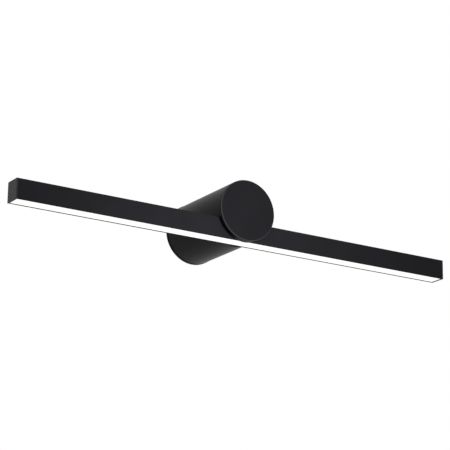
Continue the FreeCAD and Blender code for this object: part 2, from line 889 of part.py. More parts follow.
def rounded_box(label, z_range):
    """A body shaped as the driver's outline with rounded upright corners."""
    body = block(label, both(size.driver_half_width), (size.driver_start, driver_end), z_range)
    height = value_of(z_range[1] - z_range[0])
    corners = edges_where(body.Tip, lambda box: abs(box.ZLength - height) < SAME)
    dress(body, "Fillet", body.Tip, corners, size.driver_corner)
    return body


def make_driver_case():
    """Moulded tray of the driver, with two screw ears and four board posts."""
    wall = size.driver_wall
    floor = shelf_top + wall
    body = rounded_box("driver_case", (shelf_top, size.driver_split))
    inside_x = both(size.driver_half_width - wall)
    inside_depth = (size.driver_start + wall, driver_end - wall)
    cut_block(body, inside_x, inside_depth, (floor, size.driver_split))
    ear_start = size.driver_half_width - size.driver_ear_overlap
    ear_heights = (shelf_top, shelf_top + size.ear_thickness)
    for ear in ((ear_start, size.ear_reach), (-size.ear_reach, -ear_start)):
        add_block(body, ear, ear_depths, ear_heights)
    ear_holes = [(side * size.ear_screw_offset, size.ear_depth) for side in (1, -1)]
    cut_drills(body, ear_holes, size.m3_radius + size.m3_clearance, ear_heights)
    post_reach = size.driver_half_width - wall - size.post_inset_x
    posts = new_sketch(body, "XY_Plane", floor)
    for depth in (inside_depth[0] + size.post_inset, inside_depth[1] - size.post_inset):
        for side in (1, -1):
            circle(posts, side * post_reach, -depth, size.post_radius)
    pad(body, posts, size.driver_board_rise - size.board_thickness)
    wire_holes = [(-size.live_hole, input_height), (-size.neutral_hole, input_height)]
    hole_radius = size.wire_radius + size.wire_hole_gap
    cut_discs(body, wire_holes, hole_radius, (size.driver_start, size.driver_start + wall))
    gap = size.fit_gap
    opening = both(size.socket_half_width + gap)
    opening_z = (driver_board_top - gap, driver_board_top + size.socket_height + gap)
    cut_block(body, opening, (driver_end - wall, driver_end), opening_z)


def make_driver_lid():
    """Snap-on lid of the driver, with a lip inside the tray."""
    wall = size.driver_wall
    bottom = size.driver_split + size.lid_gap
    body = rounded_box("driver_lid", (bottom, size.driver_top))
    roof = size.driver_top - wall
    inner = size.driver_half_width - wall - size.lid_fit
    lip_depths = (size.driver_start + wall + size.lid_fit, driver_end - wall - size.lid_fit)
    add_block(body, both(inner), lip_depths, (bottom - size.lid_lip, bottom))
    hollow = inner - size.lid_lip_wall
    hollow_depths = (lip_depths[0] + size.lid_lip_wall, lip_depths[1] - size.lid_lip_wall)
    cut_block(body, both(hollow), hollow_depths, (bottom - size.lid_lip, roof))


def make_driver_screws():
    """Two M3 screws through the driver's ears into the shelf."""
    body = new_body("driver_screws")
    head_base = shelf_top + size.ear_thickness
    shank = new_sketch(body, "XY_Plane", head_base - size.driver_screw_depth)
    circle(shank, size.ear_screw_offset, -size.ear_depth, size.m3_radius)
    pad(body, shank, size.driver_screw_depth)
    head = new_sketch(body, "XY_Plane", head_base)
    circle(head, size.ear_screw_offset, -size.ear_depth, size.m3_head_radius)
    pad(body, head, size.m3_head_height)
    depth = size.m3_cross_depth
    recess = head_base + size.m3_head_height - depth
    cut_cross(body, "XY_Plane", recess, size.ear_screw_offset, -size.ear_depth, size.m3_head_radius, depth)
    mirror(body, "YZ_Plane")


def make_driver_board():
    """The driver's circuit board, on the posts of the tray."""
    inset = size.driver_wall + size.driver_board_gap
    depths = (size.driver_start + inset, driver_end - inset)
    heights = (driver_board_top - size.board_thickness, driver_board_top)
    block("driver_board", both(size.driver_half_width - inset), depths, heights)


def make_transformer():
    """The transformer's core, and the taped winding through its window."""
    top = driver_board_top
    core_end = size.core_start + size.core_length
    core_depths = (size.core_start, core_end)
    core = block("transformer_core", (0, size.core_width), core_depths, (top, top + size.core_height))
    window = new_sketch(core, "XZ_Plane", size.core_start)
    window_right = size.core_width - size.core_leg
    window_bottom = top + size.core_sill
    window_top = top + size.core_height - size.core_sill
    rectangle(window, size.core_leg, window_right, window_bottom, window_top)
    cut(core, window, size.core_length)

    gap = size.winding_gap
    depths = (size.core_start - size.winding_overhang, core_end + size.winding_overhang)
    heights = (window_bottom + gap, window_top - gap)
    winding = block("transformer_winding", (size.core_leg + gap, window_right - gap), depths, heights)
    long_edges = edges_where(winding.Tip, lambda box: box.YLength > value_of(size.core_length))
    dress(winding, "Fillet", winding.Tip, long_edges, size.winding_fillet)


def make_driver_capacitors():
    """Two capacitors that stand on the driver's board."""
    body = new_body("driver_capacitors")
    main = new_sketch(body, "XY_Plane", driver_board_top)
    circle(main, -size.main_capacitor_x, -size.main_capacitor_depth, size.main_capacitor_radius)
    pad(body, main, size.main_capacitor_height)
    small = new_sketch(body, "XY_Plane", driver_board_top)
    circle(small, -size.small_capacitor_x, -size.small_capacitor_depth, size.small_capacitor_radius)
    pad(body, small, size.small_capacitor_height)


def make_input_terminal():
    """The driver's input terminal, which the live and neutral wires enter."""
    start = size.driver_start + size.driver_wall + size.driver_board_gap + size.input_block_gap
    depths = (start, start + size.input_block_length)
    heights = (driver_board_top, driver_board_top + size.input_block_height)
    body = block("input_terminal", (-size.input_block_width, 0), depths, heights)
    wire_holes = [(-size.live_hole, input_height), (-size.neutral_hole, input_height)]
    cut_discs(body, wire_holes, size.input_bore, (start, start + size.input_bore_depth))


def make_output_socket():
    """The driver's output socket, open towards the room."""
    mouth = driver_end + size.socket_reach
    start = mouth - size.socket_length
    bottom, top = driver_board_top, driver_board_top + size.socket_height
    body = block("output_socket", both(size.socket_half_width), (start, mouth), (bottom, top))
    wall = size.socket_wall
    back = start + size.socket_back
    cut_block(body, both(size.socket_half_width - wall), (back, mouth), (bottom + wall, top - wall))
    pin_span = (back, mouth - size.socket_pin_inset)
    for side in (-1, 1):
        add_disc(body, side * size.socket_pin_offset, socket_middle, size.socket_pin_radius, pin_span)


# ---------------------------------------------------------------- can

def make_can_tube():
    """Round tube with a notch for the bar and two holes for the set screws."""
    body = new_body("can_tube")
    start = size.rim_depth + size.can_gap
    ring = new_sketch(body, "XZ_Plane", start)
    circle(ring, 0, 0, size.can_radius)
    circle(ring, 0, 0, can_bore)
    pad(body, ring, front_back - start)
    gap = size.bar_clearance
    notch_depths = (bar_back - gap, bar_front + gap)
    reach = size.can_radius + size.cut_margin
    cut_block(body, both(reach), notch_depths, (-reach, bar_top + gap))
    cut_set_screw_holes(body)


def cut_set_screw_holes(body):
    """Radial holes for the two set screws, one each side of the top."""
    for side in (-1, 1):
        hole = new_sketch(body, "XY_Plane", 0, side * size.set_screw_angle)
        circle(hole, 0, -size.set_screw_depth, size.set_screw_radius + size.fit_gap)
        cut(body, hole, size.can_radius + size.cut_margin)


def make_rear_collar():
    """Ring fixed inside the can's rear end: it slides over the base's spigot."""
    body = new_body("rear_collar")
    ring = new_sketch(body, "XZ_Plane", size.collar_start)
    circle(ring, 0, 0, can_bore - size.fit_gap)
    circle(ring, 0, 0, size.collar_bore)
    pad(body, ring, size.collar_length)
    cut_set_screw_holes(body)


def make_front_cap():
    """The can's plain front disc, with a ring that locates it and two bosses for the saddle."""
    body = new_body("front_cap")
    disc = add_disc(body, 0, 0, size.can_radius, (front_back, size.projection))
    front = -value_of(size.projection)
    rim = edges_where(disc, lambda box: box.YMax < front + SAME)
    dress(body, "Chamfer", disc, rim, size.front_chamfer)
    ring_outer = can_bore - size.fit_gap
    ring = new_sketch(body, "XZ_Plane", front_back - size.front_ring_depth)
    circle(ring, 0, 0, ring_outer)
    circle(ring, 0, 0, ring_outer - size.front_ring_wall)
    pad(body, ring, size.front_ring_depth)
    boss_face = front_back - size.boss_depth
    centres = [(side * size.boss_offset, size.boss_rise) for side in (1, -1)]
    bosses = new_sketch(body, "XZ_Plane", boss_face)
    for x, z in centres:
        circle(bosses, x, z, size.boss_radius)
    pad(body, bosses, size.boss_depth)
    bore_end = boss_face + size.boss_bore_depth
    cut_discs(body, centres, size.m3_radius + size.fit_gap, (boss_face, bore_end))


def make_set_screw(label, side):
    """A headless set screw with a hexagon socket, modelled along +Z and turned into place."""
    body = new_body(label)
    tip = size.collar_bore - size.set_screw_reach
    rod = new_sketch(body, "XY_Plane", tip)
    circle(rod, 0, 0, size.set_screw_radius)
    shaft = pad(body, rod, size.set_screw_length)
    rims = edges_where(shaft, lambda box: box.ZLength < SAME)
    dress(body, "Chamfer", shaft, rims, size.set_screw_chamfer)
    socket = new_sketch(body, "XY_Plane", tip + size.set_screw_length - size.set_screw_socket_depth)
    hexagon(socket, 0, 0, size.set_screw_socket)
    cut(body, socket, size.set_screw_socket_depth)
    place(body, 0, size.set_screw_depth, 0, Vector(0, 1, 0), side * size.set_screw_angle)


# ---------------------------------------------------------------- saddle

def make_bar_saddle():
    """Folded steel angle: its foot lies on the bar, its flange is screwed to the can's front."""
    flange_span = (flange_back, flange_back + size.saddle_sheet)
    plate_depths = (size.saddle_start, flange_span[1])
    body = block("bar_saddle", both(size.saddle_half_width), plate_depths, (bar_top, saddle_top))
    flange = both(size.saddle_flange_half_width)
    add_block(body, flange, flange_span, (bar_top, size.saddle_flange_top))
    clamp_holes = [(side * size.clamp_offset, bar_middle) for side in (1, -1)]
    cut_drills(body, clamp_holes, size.m4_radius + size.m4_clearance, (bar_top, saddle_top))
    cut_drills(body, [(0, size.lead_depth)], size.saddle_lead_bore, (bar_top, saddle_top))
    flange_holes = [(side * size.boss_offset, size.boss_rise) for side in (1, -1)]
    cut_discs(body, flange_holes, size.m3_radius + size.m3_clearance, flange_span)


def make_saddle_screws():
    """Two M3 screws through the saddle's flange into the front's bosses."""
    body = new_body("saddle_screws")
    x, z = size.boss_offset, size.boss_rise
    head_start = flange_back - size.m3_head_height
    shank_end = flange_back + size.saddle_sheet + size.boss_bore_depth - size.boss_end_gap
    add_disc(body, x, z, size.m3_head_radius, (head_start, flange_back))
    add_disc(body, x, z, size.m3_radius, (flange_back, shank_end))
    cut_cross(body, "XZ_Plane", head_start, x, z, size.m3_head_radius, size.m3_cross_depth)
    mirror(body, "YZ_Plane")


def make_clamp_screws():
    """Two M4 screws that pull the bar up against the saddle."""
    body = new_body("bar_clamp_screws")
    shank_bottom = chamber_top - size.nut_plate_thickness - size.clamp_screw_end
    shank = new_sketch(body, "XY_Plane", shank_bottom)
    circle(shank, size.clamp_offset, -bar_middle, size.m4_radius)
    pad(body, shank, saddle_top - shank_bottom)
    head = new_sketch(body, "XY_Plane", saddle_top)
    circle(head, size.clamp_offset, -bar_middle, size.m4_head_radius)
    pad(body, head, size.m4_head_height)
    depth = size.m4_cross_depth
    recess = saddle_top + size.m4_head_height - depth
    cut_cross(body, "XY_Plane", recess, size.clamp_offset, -bar_middle, size.m4_head_radius, depth)
    mirror(body, "YZ_Plane")


def make_nut_plates():
    """Two threaded plates inside the bar, under its top wall."""
    reach = size.nut_plate_size / 2
    x_range = (size.clamp_offset - reach, size.clamp_offset + reach)
    z_range = (chamber_top - size.nut_plate_thickness, chamber_top)
    body = block("bar_nut_plates", x_range, (bar_middle - reach, bar_middle + reach), z_range)
    cut_drills(body, [(size.clamp_offset, bar_middle)], size.m4_radius + size.fit_gap, z_range)
    mirror(body, "YZ_Plane")


# ---------------------------------------------------------------- light bar

def bar_section(half_outline):
    """The closed (y, z) outline from its half on the wall side, mirrored about the bar's middle."""
    wall_side = [(-bar_middle + across, z) for across, z in half_outline]
    room_side = [(-bar_middle - across, z) for across, z in reversed(half_outline)]
    return wall_side + room_side


def make_bar_profile():
    """Extruded aluminium channel: wiring chamber above, LED chamber below."""
    body = new_body("bar_profile")
    length = size.bar_length - 2 * size.end_cap_thickness
    outer = size.bar_thickness / 2
    inner = outer - size.bar_wall
    rail = inner - size.rail_reach
    rib = inner - size.rib_reach
    rib_bottom = bar_bottom + size.rib_height
    rib_top = rib_bottom + size.rib_thickness
    rail_bottom = rail_top - size.rail_thickness
    section = new_sketch(body, "YZ_Plane", -length / 2)
    polygon(section, bar_section([
        (outer, bar_top),
        (outer, bar_bottom),
        (inner, bar_bottom),
        (inner, rib_bottom),
        (rib, rib_bottom),
        (rib, rib_top),
        (inner, rib_top),
        (inner, rail_bottom),
        (rail, rail_bottom),
        (rail, rail_top),
        (inner, rail_top),
        (inner, board_top),
    ]))
    polygon(section, bar_section([(inner, chamber_top), (inner, chamber_floor)]))
    pad(body, section, length)
    clamp_holes = [(side * size.clamp_offset, bar_middle) for side in (1, -1)]
    cut_drills(body, clamp_holes, size.m4_radius + size.m4_clearance, (chamber_top, bar_top))
    cut_drills(body, [(0, size.lead_depth)], size.lead_hole_radius, (chamber_top, bar_top))
    pin_depths = (size.lead_depth - size.pin_slot_width / 2, size.lead_depth + size.pin_slot_width / 2)
    cut_block(body, both(size.pin_slot_length / 2), pin_depths, (board_top, chamber_floor))


def make_end_cap(label, side):
    """End plate of the bar with two lugs, modelled with its outer face at x = 0."""
    body = new_body(label)
    thickness = size.end_cap_thickness
    gap = size.end_lug_gap
    outer = size.bar_thickness / 2
    inner = outer - size.bar_wall
    plate = new_sketch(body, "YZ_Plane")
    rectangle(plate, *both(outer), -size.bar_height, 0)
    pad(body, plate, thickness)
    chamber = (chamber_floor - bar_top + gap, chamber_top - bar_top - gap)
    below_rail = rail_top - bar_top - size.rail_thickness - gap
    lugs = new_sketch(body, "YZ_Plane", thickness)
    rectangle(lugs, *both(inner - gap), *chamber)
    low_lug = (below_rail - size.low_lug_height, below_rail)
    rectangle(lugs, *both(inner - size.rib_reach - gap), *low_lug)
    pad(body, lugs, size.end_lug_length)
    hollow = new_sketch(body, "YZ_Plane", thickness)
    wall = size.end_lug_wall
    rectangle(hollow, *both(inner - gap - wall), chamber[0] + wall, chamber[1] - wall)
    cut(body, hollow, size.end_lug_length)
    place(body, side * bar_half, bar_middle, bar_top, turn=0 if side < 0 else 180)


def make_diffuser():
    """Opal diffuser that snaps over the ribs inside the channel, set back from its lips."""
    body = new_body("diffuser")
    length = size.bar_length - 2 * size.end_cap_thickness - 2 * size.diffuser_gap
    gap = size.diffuser_gap
    outer = size.bar_thickness / 2 - size.bar_wall - gap
    leg = outer - size.rib_reach
    inside = leg - size.diffuser_leg
    rib_bottom = bar_bottom + size.rib_height
    rib_top = rib_bottom + size.rib_thickness
    hook_bottom = rib_top + gap
    face = bar_bottom + size.diffuser_recess
    section = new_sketch(body, "YZ_Plane", -length / 2)
    polygon(section, bar_section([
        (outer, face),
        (outer, rib_bottom - gap),
        (leg, rib_bottom - gap),
        (leg, hook_bottom),
        (leg + size.diffuser_hook, hook_bottom),
        (leg, hook_bottom + size.diffuser_hook),
        (inside, hook_bottom + size.diffuser_hook),
        (inside, face + size.diffuser_thickness),
    ]))
    pad(body, section, length)


def make_led_board(label, side):
    """Aluminium LED board, modelled from its inner end along +X."""
    body = new_body(label)
    outline = new_sketch(body, "XY_Plane")
    rectangle(outline, 0, size.board_length, *both(size.board_width / 2))
    pad(body, outline, size.board_thickness)
    place(body, side * size.board_gap / 2, bar_middle, board_bottom, turn=0 if side > 0 else 180)


def make_led_chips():
    """A row of LED packages under both boards, at one pitch."""
    body = new_body("led_chips")
    count = 2 * int(value_of(size.board_length / size.chip_pitch))
    first = (size.chip_pitch - count * size.chip_pitch) / 2
    chip = new_sketch(body, "XY_Plane", board_bottom - size.chip_height)
    half_length = size.chip_length / 2
    half_width = size.chip_width / 2
    across = (-bar_middle - half_width, -bar_middle + half_width)
    rectangle(chip, first - half_length, first + half_length, *across)
    pad(body, chip, size.chip_height)
    repeat(body, "X_Axis", (count - 1) * size.chip_pitch, count)


def make_lead_connector():
    """Connector in the wiring chamber, whose pins reach both boards through the web."""
    middle = size.lead_depth
    top = chamber_floor + size.connector_height
    depths = (middle - size.connector_half_length, middle + size.connector_half_length)
    body = block("lead_connector", both(size.connector_half_width), depths, (chamber_floor, top))
    bore = size.lead_radius + size.fit_gap
    cut_drills(body, [(0, middle)], bore, (top - size.connector_bore_depth, top))
    pins = new_sketch(body, "XY_Plane", board_top)
    for side in (-1, 1):
        circle(pins, side * size.connector_pin_offset, -middle, size.connector_pin_radius)
    pad(body, pins, size.web_thickness)


def make_lead_grommet():
    """Small rubber grommet where the lead enters the bar's top wall."""
    body = new_body("lead_grommet")
    lip = size.small_grommet_lip
    sections = (
        (chamber_top - lip, size.small_grommet_inner, lip),
        (chamber_top, size.small_grommet_neck, size.bar_top_wall),
        (bar_top, size.small_grommet_outer, lip),
    )
    for base, radius, height in sections:
        disc = new_sketch(body, "XY_Plane", base)
        circle(disc, 0, -size.lead_depth, radius)
        pad(body, disc, height)
    bore = size.lead_radius + size.fit_gap
    cut_drills(body, [(0, size.lead_depth)], bore, (chamber_top - lip, bar_top + lip))


def make_bar_lead():
    """The lead from the driver's plug down into the bar."""
    inside_plug = driver_end + size.plug_length - size.lead_plug_insertion
    lead("bar_lead", [
        (0, inside_plug, socket_middle),
        (0, size.lead_depth, socket_middle),
        (0, size.lead_depth, chamber_floor + size.connector_lead_height),
    ], size.lead_radius, size.lead_bend)


def make_lead_plug():
    """Plug on the lead's end: its nose sits in the driver's socket."""
    start = driver_end + size.plug_start
    end = start + size.plug_length
    half_nose = size.socket_half_width - size.socket_wall - size.plug_gap
    nose_reach = size.socket_height / 2 - size.socket_wall - size.plug_gap
    nose_start = start - size.plug_nose
    nose_heights = (socket_middle - nose_reach, socket_middle + nose_reach)
    body = block("lead_plug", both(half_nose), (nose_start, start), nose_heights)
    top = socket_middle + size.plug_half_height
    add_block(body, both(size.plug_half_width), (start, end), (socket_middle - size.plug_half_height, top))
    latch_span = (start + size.latch_inset, end - size.latch_inset)
    add_block(body, both(size.latch_half_width), latch_span, (top, top + size.latch_height))
    pins = [(side * size.socket_pin_offset, socket_middle) for side in (-1, 1)]
    cut_discs(body, pins, size.plug_pin_bore, (nose_start, start))
    lead_bore = size.lead_radius + size.fit_gap
    cut_discs(body, [(0, socket_middle)], lead_bore, (end - size.plug_lead_depth, end))


# ---------------------------------------------------------------- build, check, write

make_wall_bracket()
make_bracket_studs()
make_level_nuts()
make_base_cup()
make_cable_grommet()
make_chassis_bracket()
make_chassis_screws()
make_terminal_block()
make_terminal_screws()
make_earth_parts()
make_wires()
make_driver_case()
make_driver_lid()
make_driver_screws()
make_driver_board()
make_transformer()
make_driver_capacitors()
make_input_terminal()
make_output_socket()
make_can_tube()
make_rear_collar()
make_front_cap()
make_set_screw("set_screw_left", -1)
make_set_screw("set_screw_right", 1)
make_bar_saddle()
make_saddle_screws()
make_clamp_screws()
make_nut_plates()
make_bar_profile()
make_end_cap("end_cap_left", -1)
make_end_cap("end_cap_right", 1)
make_diffuser()
make_led_board("led_board_left", -1)
make_led_board("led_board_right", 1)
make_led_chips()
make_lead_connector()
make_lead_grommet()
make_bar_lead()
make_lead_plug()
doc.recompute()

for item in doc.Objects:
    if "Invalid" in item.State or "Error" in item.State:
        raise RuntimeError(f"{item.Label} failed: {item.State}")

sub_parts = [item for item in doc.Objects if item.TypeId in ("PartDesign::Body", "Part::Feature")]
for sub_part in sub_parts:
    shape = sub_part.Shape
    if shape.isNull() or not shape.isValid() or not shape.Solids:
        raise RuntimeError(sub_part.Label + " has no valid shape")

for sub_part in sub_parts:
    sub_part.Shape.exportStep(f"parts/{sub_part.Label}.step")
print(len(sub_parts), "sub-parts written")
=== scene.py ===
"""Vanity light bar: the looks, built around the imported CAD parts."""
import math

import bmesh
import bpy
from mathutils import Matrix, Vector


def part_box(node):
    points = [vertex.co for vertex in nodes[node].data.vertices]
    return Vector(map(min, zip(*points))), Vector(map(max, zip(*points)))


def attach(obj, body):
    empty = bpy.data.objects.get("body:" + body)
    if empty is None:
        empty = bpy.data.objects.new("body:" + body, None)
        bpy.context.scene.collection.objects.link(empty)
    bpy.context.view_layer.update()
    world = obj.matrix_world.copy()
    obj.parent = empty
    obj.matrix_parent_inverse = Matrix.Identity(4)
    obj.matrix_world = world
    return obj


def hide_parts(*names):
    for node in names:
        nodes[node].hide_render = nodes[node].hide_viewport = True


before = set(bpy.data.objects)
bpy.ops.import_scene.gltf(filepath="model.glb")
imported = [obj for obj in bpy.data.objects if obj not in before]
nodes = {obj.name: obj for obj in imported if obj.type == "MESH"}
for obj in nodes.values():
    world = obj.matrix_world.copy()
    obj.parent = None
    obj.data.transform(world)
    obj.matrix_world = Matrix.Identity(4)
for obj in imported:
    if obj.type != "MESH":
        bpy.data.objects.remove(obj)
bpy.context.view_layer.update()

MM = 0.001


# ---------------------------------------------------------------- camera

# Fitted to the bar's edges, the disc and the can's outlines in the photo.
CAMERA_AZIMUTH = math.radians(31.83)
CAMERA_ELEVATION = math.radians(16.69)
CAMERA_ROLL = math.radians(0.82)
CAMERA_DISTANCE = 2.274
AIM_ALONG_BAR = -27.3 * MM   # from the can's axis
AIM_ABOVE_BAR = 3.7 * MM     # from the middle of the bar's front
LENS = 151.2                 # focal length in mm
SENSOR = 36                  # width in mm


def add_camera():
    """Camera below and to the left of the light, looking up at it, with a slight roll."""
    bar_low, bar_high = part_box("bar_profile")
    target = Vector((AIM_ALONG_BAR, bar_low.y, (bar_low.z + bar_high.z) / 2 + AIM_ABOVE_BAR))
    forward = Vector((math.sin(CAMERA_AZIMUTH) * math.cos(CAMERA_ELEVATION),
                      math.cos(CAMERA_AZIMUTH) * math.cos(CAMERA_ELEVATION),
                      math.sin(CAMERA_ELEVATION)))
    level_right = Vector((math.cos(CAMERA_AZIMUTH), -math.sin(CAMERA_AZIMUTH), 0))
    level_up = level_right.cross(forward)
    right = math.cos(CAMERA_ROLL) * level_right + math.sin(CAMERA_ROLL) * level_up
    up = math.cos(CAMERA_ROLL) * level_up - math.sin(CAMERA_ROLL) * level_right
    data = bpy.data.cameras.new("camera")
    data.lens = LENS
    data.sensor_width = SENSOR
    camera = bpy.data.objects.new("camera", data)
    camera.matrix_world = (Matrix.Translation(target - forward * CAMERA_DISTANCE)
                           @ Matrix((right, up, -forward)).transposed().to_4x4())
    bpy.context.scene.collection.objects.link(camera)
    bpy.context.scene.camera = camera


# ---------------------------------------------------------------- light and floor

KEY_PLACE = (-0.03, -0.4, -0.05)
KEY_AIM = (-0.02, -0.12, -0.02)
KEY_SIZE = 0.12
KEY_WATTS = 1.3
FLOOR_SIZE = 60
FLOOR_HEIGHT = -2.6


def add_world():
    """An even white studio all round."""
    world = bpy.data.worlds.new("studio")
    bpy.context.scene.world = world
    world.use_nodes = True
    background = world.node_tree.nodes["Background"]
    background.inputs["Color"].default_value = (1, 1, 1, 1)
    background.inputs["Strength"].default_value = 1.0
    bpy.context.scene.view_settings.view_transform = "Standard"


def add_key_light():
    """A small softbox close in front of the can, which fades along the bar to both sides."""
    data = bpy.data.lights.new("key", "AREA")
    data.shape = "SQUARE"
    data.size = KEY_SIZE
    data.energy = KEY_WATTS
    light = bpy.data.objects.new("key", data)
    light.location = KEY_PLACE
    light.rotation_euler = (Vector(KEY_AIM) - Vector(KEY_PLACE)).to_track_quat("-Z", "Y").to_euler()
    bpy.context.scene.collection.objects.link(light)


def add_floor():
    """A plain pale floor, well below the light."""
    bpy.ops.mesh.primitive_plane_add(size=FLOOR_SIZE, location=(0, 0, FLOOR_HEIGHT))
    floor = bpy.context.object
    floor.name = "floor"
    floor.data.materials.append(mottled("floor_paint", (0.93, 0.93, 0.93), 0.8, 3.0, 0.005))


# ---------------------------------------------------------------- materials

BUMP_DEPTH = 0.1 * MM
MATH_COMPARED_WITH, MATH_TOLERANCE = 1, 2   # inputs of a Math node set to Compare
CHAMFER_LEAN = math.cos(math.radians(45))   # share of the normal that lies along Y
CHAMFER_TOLERANCE = 0.2


class Graph:
    """A short way to build a node material around its Principled shader."""

    def __init__(self, name, color, roughness, metallic=0.0, **sockets):
        self.material = bpy.data.materials.new(name)
        self.material.use_nodes = True
        self.tree = self.material.node_tree
        self.shader = self.tree.nodes["Principled BSDF"]
        self.set(self.shader, {"Base Color": (*color, 1), "Roughness": roughness,
                               "Metallic": metallic, **sockets})

    def set(self, node, values):
        for socket, value in values.items():
            node.inputs[socket].default_value = value

    def add(self, kind, values=None, **properties):
        node = self.tree.nodes.new(kind)
        for key, value in properties.items():
            setattr(node, key, value)
        self.set(node, values or {})
        return node

    def link(self, source, output, target, socket):
        self.tree.links.new(source.outputs[output], target.inputs[socket])

    def place(self, scale=(1, 1, 1)):
        """Object coordinates in metres, stretched along the axes."""
        where = self.add("ShaderNodeTexCoord")
        mapping = self.add("ShaderNodeMapping", {"Scale": scale})
        self.link(where, "Object", mapping, "Vector")
        return mapping

    def noise(self, where, scale, detail=2.0, roughness=0.5):
        values = {"Scale": scale, "Detail": detail, "Roughness": roughness}
        noise = self.add("ShaderNodeTexNoise", values)
        self.link(where, "Vector", noise, "Vector")
        return noise

    def cells(self, where, scale):
        cells = self.add("ShaderNodeTexVoronoi", {"Scale": scale})
        self.link(where, "Vector", cells, "Vector")
        return cells

    def bands(self, where, scale, direction, distortion=0.0):
        values = {"Scale": scale, "Distortion": distortion, "Detail": 2.0, "Detail Scale": 2.0}
        bands = self.add("ShaderNodeTexWave", values, bands_direction=direction)
        self.link(where, "Vector", bands, "Vector")
        return bands

    def ramp(self, source, output, low, high, start=0.35, end=0.65):
        """Maps a texture to a colour between two colours."""
        ramp = self.add("ShaderNodeValToRGB")
        ramp.color_ramp.elements[0].position = start
        ramp.color_ramp.elements[1].position = end
        ramp.color_ramp.elements[0].color = (*low, 1)
        ramp.color_ramp.elements[1].color = (*high, 1)
        self.link(source, output, ramp, "Fac")
        return ramp

    def tint(self, source, output, low, high, *span):
        """Colours the surface by a texture."""
        self.link(self.ramp(source, output, low, high, *span), "Color", self.shader, "Base Color")

    def paint_chamfer_highlight(self, color):
        """Paints a highlight: recolours the faces that lean about 45 degrees from the Y axis lighter,
        standing in for the light a chamfer catches.
        """
        surface = self.add("ShaderNodeNewGeometry")
        axes = self.add("ShaderNodeSeparateXYZ")
        facing = self.add("ShaderNodeMath", operation="ABSOLUTE")
        chamfer = self.add("ShaderNodeMath", {MATH_COMPARED_WITH: CHAMFER_LEAN,
                                              MATH_TOLERANCE: CHAMFER_TOLERANCE}, operation="COMPARE")
        painted_highlight = self.add("ShaderNodeMixRGB", {"Color2": (*color, 1)})
        coat = self.shader.inputs["Base Color"].links[0].from_node
        self.link(surface, "Normal", axes, "Vector")
        self.link(axes, "Y", facing, "Value")
        self.link(facing, "Value", chamfer, "Value")
        self.link(chamfer, "Value", painted_highlight, "Fac")
        self.link(coat, "Color", painted_highlight, "Color1")
        self.link(painted_highlight, "Color", self.shader, "Base Color")

    def vary_roughness(self, source, output, low, high):
        spread = self.add("ShaderNodeMapRange", {"To Min": low, "To Max": high})
        self.link(source, output, spread, "Value")
        self.link(spread, "Result", self.shader, "Roughness")

    def bump(self, source, output, strength, depth=BUMP_DEPTH):
        bump = self.add("ShaderNodeBump", {"Strength": strength, "Distance": depth})
        self.link(source, output, bump, "Height")
        self.link(bump, "Normal", self.shader, "Normal")


def scaled(color, factor):
    return tuple(channel * factor for channel in color)


def cool_black(shade):
    """A near-black with the faint violet cast of black coatings."""
    return scaled((1.04, 1.0, 1.16), shade)


def mottled(name, color, roughness, scale, spread=0.03, grain=0.0, grain_scale=1500.0):
    """A moulded or painted surface: faint clouds of colour, and a fine grain where it has one."""
    graph = Graph(name, color, roughness)
    where = graph.place()
    cloud = graph.noise(where, scale)
    graph.tint(cloud, "Fac", scaled(color, 1 - spread), color)
    if grain:
        skin = graph.noise(where, grain_scale, 3.0, 0.6)
        graph.vary_roughness(skin, "Fac", roughness - 0.06, roughness + 0.06)
        graph.bump(skin, "Fac", grain)
    return graph.material


def powder_coat(name, shade, ior):
    """Satin black powder coat: a fine orange-peel skin over metal."""
    graph = Graph(name, cool_black(shade), 0.36, IOR=ior)
    graph.set(graph.shader, {"Specular Tint": (0.97, 0.95, 1.0, 1)})
    where = graph.place()
    peel = graph.noise(where, 900.0, 3.0, 0.55)
    cloud = graph.noise(where, 18.0)
    graph.tint(cloud, "Fac", cool_black(0.92 * shade), cool_black(1.08 * shade))
    graph.vary_roughness(peel, "Fac", 0.32, 0.42)
    graph.bump(peel, "Fac", 0.12)
    return graph.material


def anodised(name, shade, ior, grain, chamfer_highlight_shade=None):
    """Black anodised aluminium, with the faint lines that drawing or turning leaves.

    With a highlight shade given, the 45 degree chamfer round a front face is painted a little brighter,
    a painted highlight.
    """
    graph = Graph(name, cool_black(shade), 0.4, IOR=ior)
    lines = graph.noise(graph.place(grain), 1.0, 3.0, 0.6)
    cloud = graph.noise(graph.place(), 25.0)
    graph.tint(cloud, "Fac", cool_black(0.95 * shade), cool_black(1.05 * shade))
    # painted highlight on the 45 degree chamfer
    if chamfer_highlight_shade:
        graph.paint_chamfer_highlight(cool_black(chamfer_highlight_shade))
    graph.vary_roughness(lines, "Fac", 0.36, 0.46)
    graph.bump(lines, "Fac", 0.08)
    return graph.material


def opal():
    """Opal plastic, lit evenly from behind."""
    graph = Graph("opal_diffuser", (0.8, 0.8, 0.79), 0.45)
    graph.set(graph.shader, {"Emission Strength": 0.3})
    cloud = graph.noise(graph.place((3, 20, 20)), 1.0)
    drawn = graph.noise(graph.place((4, 1400, 1400)), 1.0, 3.0)
    glow = graph.ramp(cloud, "Fac", (0.985, 0.985, 0.97), (1.0, 1.0, 0.99))
    graph.link(glow, "Color", graph.shader, "Emission Color")
    graph.tint(cloud, "Fac", (0.79, 0.79, 0.78), (0.81, 0.81, 0.8))
    graph.vary_roughness(drawn, "Fac", 0.4, 0.5)
    graph.bump(drawn, "Fac", 0.04)
    return graph.material


def sheet_steel():
    """Zinc-plated sheet: bright, slightly cloudy, with a rolling grain."""
    graph = Graph("zinc_sheet_steel", (0.62, 0.63, 0.65), 0.34, 1.0)
    spangle = graph.cells(graph.place(), 160.0)
    grain = graph.noise(graph.place((60, 60, 2600)), 1.0, 4.0, 0.6)
    graph.tint(spangle, "Color", (0.56, 0.565, 0.58), (0.66, 0.67, 0.69), 0.1, 0.9)
    graph.vary_roughness(grain, "Fac", 0.26, 0.44)
    graph.bump(grain, "Fac", 0.15)
    return graph.material


